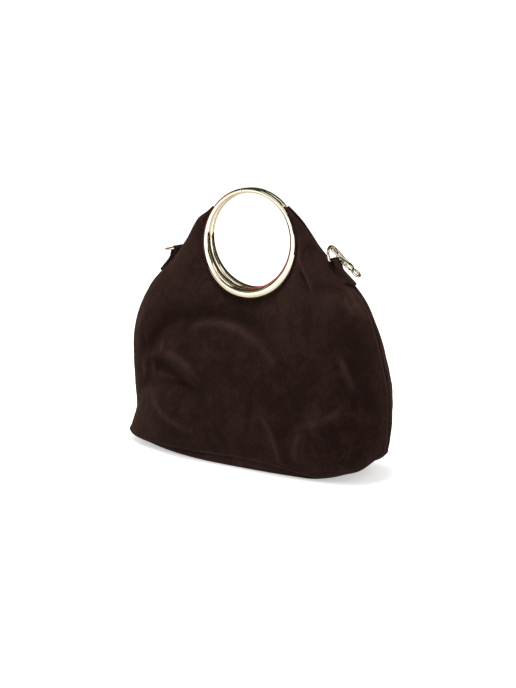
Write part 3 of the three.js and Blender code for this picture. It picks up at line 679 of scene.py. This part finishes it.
def shellFaces(columns, rows):
    count = columns * rows
    faces = gridFaces(columns, rows) + gridFaces(columns, rows, count, flip=True)
    for i in range(columns - 1):
        a, b = i * rows, (i + 1) * rows
        faces.append((a, b, b + count, a + count))
        a, b = a + rows - 1, b + rows - 1
        faces.append((b, a, a + count, b + count))
    last = (columns - 1) * rows
    for j in range(rows - 1):
        faces.append((j + 1, j, j + count, j + 1 + count))
        faces.append((last + j, last + j + 1, last + j + 1 + count, last + j + count))
    return faces


def makePanel(name, node, folds, creases, seed, atBack):
    layers, shades = panelMesh(folds, creases, seed)
    faces = shellFaces(*layers[0].shape[:2])
    points = np.concatenate([layer.reshape(-1, 3) for layer in layers])
    if atBack:
        points, faces = turnedBack(points, faces)
    panel = addPiece(name, points, faces, suede, node)
    for shade, values in shades.items():
        storeValues(panel, shade, np.tile(values.ravel(), 2))
    print(name, "made:", len(faces), "faces")


def makeRing(name, node, atBack):
    suedeAngles = panelColumns()["angle"]
    points, faces = ringMesh(suedeAngles[0], suedeAngles[-1])
    if atBack:
        points, faces = turnedBack(points, faces)
    addPiece(name, points, faces, ringGold, node)
    print(name, "made:", len(faces), "faces")


makePanel("frontPanel", "front_panel", frontFolds, frontCreases, seed=3.1, atBack=False)
makePanel("backPanel", "back_panel", backFolds, backCreases, seed=11.7, atBack=True)
makeRing("frontRing", "front_ring", atBack=False)
makeRing("backRing", "back_ring", atBack=True)

# Base
baseShape = dict(
    # profile from the middle of the floor to the seam: how far out, up the rim, up with the turned-up ends,
    # and how far the wall has turned from flat to upright
    rows=[
        dict(at=0, out=0.0, up=0, lift=0, lean=0),
        dict(at=1, out=0.32, up=0, lift=0, lean=0),
        dict(at=2, out=0.6, up=0, lift=0, lean=0),
        dict(at=3, out=0.86, up=0.01, lift=0.55, lean=0.1),
        dict(at=4, out=0.965, up=0.14, lift=0.95, lean=0.6),
        dict(at=5, out=0.995, up=0.6, lift=1, lean=0.95),
        dict(at=6, out=1.0, up=1, lift=1, lean=1),
    ],
    steps=48,
    seamPuff=0.5, puffAt=0.6, puffWidth=0.25,  # up the rim
    wearAndPaintedLight=0.8, wearAndLightRows=16,  # lighter band beside the seam: rubbed nap and painted highlight
)


def makeBase():
    columns = panelColumns()
    onBase = columns["stage"] >= 2
    front = np.stack([columns[k][onBase] for k in ("x", "depth", "height", "rim")], -1)
    front[[0, -1], 1] = 0
    back = front[1:-1][::-1]
    outline = np.concatenate([front * [1, -1, 1, 1], back])
    rim, outline = outline[:, 3], outline[:, :3]
    along = np.roll(outline, -1, 0) - np.roll(outline, 1, 0)
    inward = unit(np.stack([-along[:, 1], along[:, 0], np.zeros(len(along))], -1))
    layers = []
    for inset in (0, suedeWall):
        rows = []
        for at in np.linspace(0, len(baseShape["rows"]) - 1, baseShape["steps"])[1:]:
            row = {k: catmullRom(baseShape["rows"], "at", k, at) for k in ("out", "up", "lift", "lean")}
            lean, lift, up = (min(max(row[k], 0), 1) for k in ("lean", "lift", "up"))
            spot = outline * [row["out"], row["out"], 0] + inward * inset * lean
            spot[:, 2] = lift * (outline[:, 2] - rim) + up * (rim - clearance) + inset * (1 - lean)
            if inset == 0:
                puff = bell(up - baseShape["puffAt"], baseShape["puffWidth"])
                spot -= inward * baseShape["seamPuff"] * puff
            rows.append(spot)
        layers.append(np.stack(rows, 1))
    count, rows = layers[0].shape[:2]
    size = count * rows
    faces = gridFaces(count, rows, 0, True, True) + gridFaces(count, rows, size, False, True)
    for i in range(count):
        a, b = i * rows, (i + 1) % count * rows
        faces.append((a + rows - 1, b + rows - 1, b + rows - 1 + size, a + rows - 1 + size))
    points = np.concatenate([layer.reshape(-1, 3) for layer in layers])
    middles = np.array([[0, 0, 0], [0, 0, suedeWall]])
    for layer, turned in ((0, True), (1, False)):
        for i in range(count):
            a, b = layer * size + i * rows, layer * size + (i + 1) % count * rows
            face = (2 * size + layer, a, b)
            faces.append(face if turned else face[::-1])
    piece = addPiece("basePanel", np.vstack([points, middles]), faces, suede, "base_panel")
    # lighter band on the rim beside the seam: rubbed nap and painted highlight
    wearAndPaintedLight = np.zeros((2, count, rows))
    wearAndPaintedLight[0, :, -baseShape["wearAndLightRows"]:] = baseShape["wearAndPaintedLight"]
    storeValues(piece, "wearAndPaintedLight", np.r_[wearAndPaintedLight.ravel(), 0, 0])
    print("basePanel made:", len(faces), "faces")


makeBase()

# Tabs and small metal pieces: their solids are right, so finer copies are rounded from them
roundings = [
    dict(name="leftTab", node="left_tab", body="bag", voxel=0.34, smoothing=5, swell=0),
    dict(name="rightTab", node="right_tab", body="bag", voxel=0.34, smoothing=5, swell=0),
    dict(name="leftDRing", node="left_d_ring", body="left_d_ring", voxel=0.16, smoothing=40, swell=0.1),
    dict(name="rightDRing", node="right_d_ring", body="right_d_ring", voxel=0.16, smoothing=40, swell=0.1),
    dict(name="hookBody", node="hook_body", body="right_d_ring", voxel=0.15, smoothing=12, swell=0.15),
    dict(name="hookLever", node="hook_lever", body="hook_lever", voxel=0.13, smoothing=8, swell=0.1),
    dict(name="hookEye", node="hook_eye", body="hook_eye", voxel=0.14, smoothing=16, swell=0.2),
]

# Each tab hangs a little over both sides of the seam, below its D-ring's bar
tabs = dict(
    leftTab=dict(bar=(-89.2, 211.7), down=(-0.707, -0.707)),
    rightTab=dict(bar=(89.8, 209.7), down=(0.759, -0.651)),
)
tabHang = dict(
    halfWidth=9.5,
    drop=3, start=3, full=14,  # of its sides, growing along the tab from the bar
    corner=4, cornerReach=9, cornerFrom=0.5,  # taken off the lower corners
    # lighter along the tab's side edges: rubbed nap and painted highlight
    wearAndPaintedLight=0.7, wearAndLightEdge=1.6,
)


def hangTab(piece):
    mesh = piece.data
    points = np.empty(len(mesh.vertices) * 3, np.float32)
    mesh.vertices.foreach_get("co", points)
    points = points.reshape(-1, 3) / mm
    tab = tabs[piece.name]
    down = np.array([tab["down"][0], 0, tab["down"][1]])
    inward = np.array([-abs(down[2]) * np.sign(down[0]), 0, -abs(down[0])])
    along = (points - [tab["bar"][0], 0, tab["bar"][1]]) @ down
    across = np.abs(points[:, 1]) / tabHang["halfWidth"]
    hang = tabHang["drop"] * across**2 * smoothStep(tabHang["start"], tabHang["full"], along)
    atEnd = smoothStep(along.max() - tabHang["cornerReach"], along.max(), along)
    corner = tabHang["corner"] * smoothStep(tabHang["cornerFrom"], 1, across) ** 2 * atEnd
    points += inward * hang[:, None] - down * corner[:, None]
    mesh.vertices.foreach_set("co", (points * mm).astype(np.float32).ravel())
    mesh.update()
    fromSide = (1 - across) * tabHang["halfWidth"]
    # lighter along both side edges: rubbed nap and painted highlight
    storeValues(piece, "wearAndPaintedLight", tabHang["wearAndPaintedLight"] * bell(fromSide, tabHang["wearAndLightEdge"]))


def makeRounded(name, node, body, voxel, smoothing, swell):
    mesh = nodes[node].data.copy()
    mesh.name = name
    mesh.materials.clear()
    mesh.materials.append(suede if name in tabs else trimGold)
    piece = bpy.data.objects.new(name, mesh)
    bpy.context.scene.collection.objects.link(piece)
    remesh = piece.modifiers.new("finer", "REMESH")
    remesh.mode = "VOXEL"
    remesh.voxel_size = voxel * mm
    remesh.use_smooth_shade = True
    smooth = piece.modifiers.new("rounded", "SMOOTH")
    smooth.factor = 0.5
    smooth.iterations = smoothing
    full = piece.modifiers.new("full", "DISPLACE")  # smoothing thins a wire, so it is filled out again
    full.mid_level = 0
    full.strength = swell * mm
    bpy.context.view_layer.update()
    seen = piece.evaluated_get(bpy.context.evaluated_depsgraph_get())
    finished = bpy.data.meshes.new_from_object(seen)
    piece.modifiers.clear()
    piece.data = finished
    finished.name = name
    if name in tabs:
        hangTab(piece)
    standFor(piece, body, node)
    return piece


for rounding in roundings:
    rounded = makeRounded(**rounding)
    print(rounded.name, "made:", len(rounded.data.polygons), "faces")

# Stage, light and camera
studio = dict(
    floorSize=8,
    floorColour=(0.9, 0.9, 0.9), floorRoughness=0.9,
    nearGlow=0.5, farGlow=0.95,  # what the camera sees beyond the light that falls on the floor
    nearTo=0.1, farFrom=0.25,  # metres from the bag
    skyWhite=(1.05, 1.05, 1.05),  # as the camera sees it
    skyLight=(0.2, 0.2, 0.2),  # on the bag
    skyMirrored=(0.035, 0.036, 0.026),  # in the metal
)
# What the metal mirrors below: a pale table that runs towards the camera, brighter further off
table = dict(
    turn=15, halfWidth=0.72, softEdge=0.06,  # degrees, metres
    colour=(1, 0.97, 0.9), nearGlow=0.85, farGlow=1.7, brightFrom=0.1, brightTo=0.6,
)
lamps = [
    dict(name="keyLight", place=(-1.0, -1.2, 1.9), size=(1.8, 1.8), power=15, colour=(1, 1, 1)),
    dict(name="fillLight", place=(1.9, -0.8, 1.7), size=(1.4, 1.4), power=20, colour=(1, 0.95, 0.86)),
    dict(name="topLight", place=(-0.1, -0.35, 1.9), size=(1.2, 0.5), power=25, colour=(1, 1, 1)),
]
# Cards that only the metal mirrors: turn is degrees round the bag from straight in front, to the right
cream = (1, 1, 0.95)
clay = (0.44, 0.11, 0.06)
cards = [
    dict(name="whiteCard", turn=4, distance=1.1, size=(2.6, 0.56), height=0.28, colour=(1, 1, 1), glow=1.7),
    dict(name="upperCard", turn=15, distance=1.1, size=(1.0, 0.42), height=0.8, colour=cream, glow=1.3),
    dict(name="highCard", turn=65, distance=0.9, size=(0.9, 0.4), height=1.4, colour=cream, glow=1.2),
    dict(name="overCard", turn=10, distance=0.45, size=(0.6, 0.35), height=1.0, colour=cream, glow=1.1),
    dict(name="stripCard", turn=-36, distance=1.5, size=(1.6, 0.09), height=1.08, colour=cream, glow=1),
    dict(name="clayCard", turn=-110, distance=1.2, size=(2.0, 1.1), height=0.5, colour=clay, glow=1),
]
viewFrom = dict(
    yaw=30.706, pitch=11.702,  # degrees round the bag, and down
    distance=1.0461, sideways=0.0053, height=0.3360,
    focalPixels=1060, imageHeight=688, film=36,
)
aim = Vector((0, 0, 0.13))


def makeFloor():
    bpy.ops.mesh.primitive_plane_add(size=studio["floorSize"])
    floor = bpy.context.object
    floor.name = "floor"
    material, tree, links = newMaterial("paleFloor")
    shader = tree["Principled BSDF"]
    shader.inputs["Base Color"].default_value = (*studio["floorColour"], 1)
    shader.inputs["Roughness"].default_value = studio["floorRoughness"]
    shader.inputs["Specular IOR Level"].default_value = 0
    shader.inputs["Emission Color"].default_value = (1, 1, 1, 1)
    path = tree.new("ShaderNodeLightPath").outputs
    place = tree.new("ShaderNodeTexCoord").outputs["Object"]
    away = tree.new("ShaderNodeVectorMath")
    away.operation = "LENGTH"
    links.new(place, away.inputs[0])
    near, far = studio["nearTo"], studio["farFrom"]
    glow = addRange(tree, away.outputs["Value"], (near, far), (studio["nearGlow"], studio["farGlow"]))
    links.new(addMath(tree, "MULTIPLY", path["Is Camera Ray"], glow), shader.inputs["Emission Strength"])

    turn = math.radians(table["turn"])
    ahead = addDot(tree, place, (math.sin(turn), -math.cos(turn), 0))
    aside = addMath(tree, "ABSOLUTE", addDot(tree, place, (math.cos(turn), math.sin(turn), 0)))
    edge, soft = table["halfWidth"], table["softEdge"]
    onTable = addRange(tree, aside, (edge - soft, edge + soft), (1, 0))
    bright = (table["brightFrom"], table["brightTo"])
    glow = addRange(tree, ahead, bright, (table["nearGlow"], table["farGlow"]))
    mirrored = tree.new("ShaderNodeEmission")
    mirrored.inputs["Color"].default_value = (*table["colour"], 1)
    links.new(addMath(tree, "MULTIPLY", onTable, glow), mirrored.inputs["Strength"])
    mix = tree.new("ShaderNodeMixShader")
    links.new(path["Is Glossy Ray"], mix.inputs["Fac"])
    links.new(shader.outputs["BSDF"], mix.inputs[1])
    links.new(mirrored.outputs["Emission"], mix.inputs[2])
    links.new(mix.outputs["Shader"], tree["Material Output"].inputs["Surface"])
    floor.data.materials.append(material)


def makeLamps():
    for lamp in lamps:
        light = bpy.data.lights.new(lamp["name"], "AREA")
        light.shape = "RECTANGLE"
        light.size, light.size_y = lamp["size"]
        light.energy = lamp["power"]
        light.color = lamp["colour"]
        holder = bpy.data.objects.new(lamp["name"], light)
        holder.location = lamp["place"]
        holder.rotation_euler = (aim - holder.location).to_track_quat("-Z", "Y").to_euler()
        holder.visible_glossy = False
        bpy.context.scene.collection.objects.link(holder)


def makeCards():
    for card in cards:
        turn = math.radians(card["turn"])
        wide, tall = (side / 2 for side in card["size"])
        corners = [(-wide, -tall), (wide, -tall), (wide, tall), (-wide, tall)]
        mesh = bpy.data.meshes.new(card["name"])
        mesh.from_pydata([(x, 0, z) for x, z in corners], [], [(0, 1, 2, 3)])
        holder = bpy.data.objects.new(card["name"], mesh)
        where = Vector((math.sin(turn), -math.cos(turn), 0)) * card["distance"]
        where.z = card["height"]
        holder.location = where
        holder.rotation_euler = (where - aim).to_track_quat("-Y", "Z").to_euler()
        bpy.context.scene.collection.objects.link(holder)
        material, tree, links = newMaterial(card["name"])
        glow = tree.new("ShaderNodeEmission")
        glow.inputs["Color"].default_value = (*card["colour"], 1)
        glow.inputs["Strength"].default_value = card["glow"]
        links.new(glow.outputs["Emission"], tree["Material Output"].inputs["Surface"])
        mesh.materials.append(material)
        holder.visible_camera = False
        holder.visible_diffuse = False
        holder.visible_shadow = False


def makeSky():
    world = bpy.data.worlds.new("studio")
    world.use_nodes = True
    tree, links = world.node_tree.nodes, world.node_tree.links
    path = tree.new("ShaderNodeLightPath").outputs
    colour = (*studio["skyLight"], 1)
    for ray, seen in (("Is Glossy Ray", studio["skyMirrored"]), ("Is Camera Ray", studio["skyWhite"])):
        colour = addMix(tree, path[ray], colour, (*seen, 1))
    links.new(colour, tree["Background"].inputs["Color"])
    bpy.context.scene.world = world


def makeCamera():
    data = bpy.data.cameras.new("camera")
    data.sensor_fit = "VERTICAL"
    data.sensor_height = viewFrom["film"]
    data.lens = viewFrom["focalPixels"] / viewFrom["imageHeight"] * viewFrom["film"]
    yaw = math.radians(viewFrom["yaw"])
    ahead = Vector((-math.sin(yaw), math.cos(yaw), 0))
    right = Vector((math.cos(yaw), math.sin(yaw), 0))
    camera = bpy.data.objects.new("camera", data)
    camera.location = right * viewFrom["sideways"] - ahead * viewFrom["distance"]
    camera.location.z = viewFrom["height"]
    camera.rotation_euler = (math.radians(90 - viewFrom["pitch"]), 0, yaw)
    bpy.context.scene.collection.objects.link(camera)
    bpy.context.scene.camera = camera


makeFloor()
makeLamps()
makeCards()
makeSky()
makeCamera()
bpy.context.scene.view_settings.view_transform = "Standard"
print("stage, light and camera set")
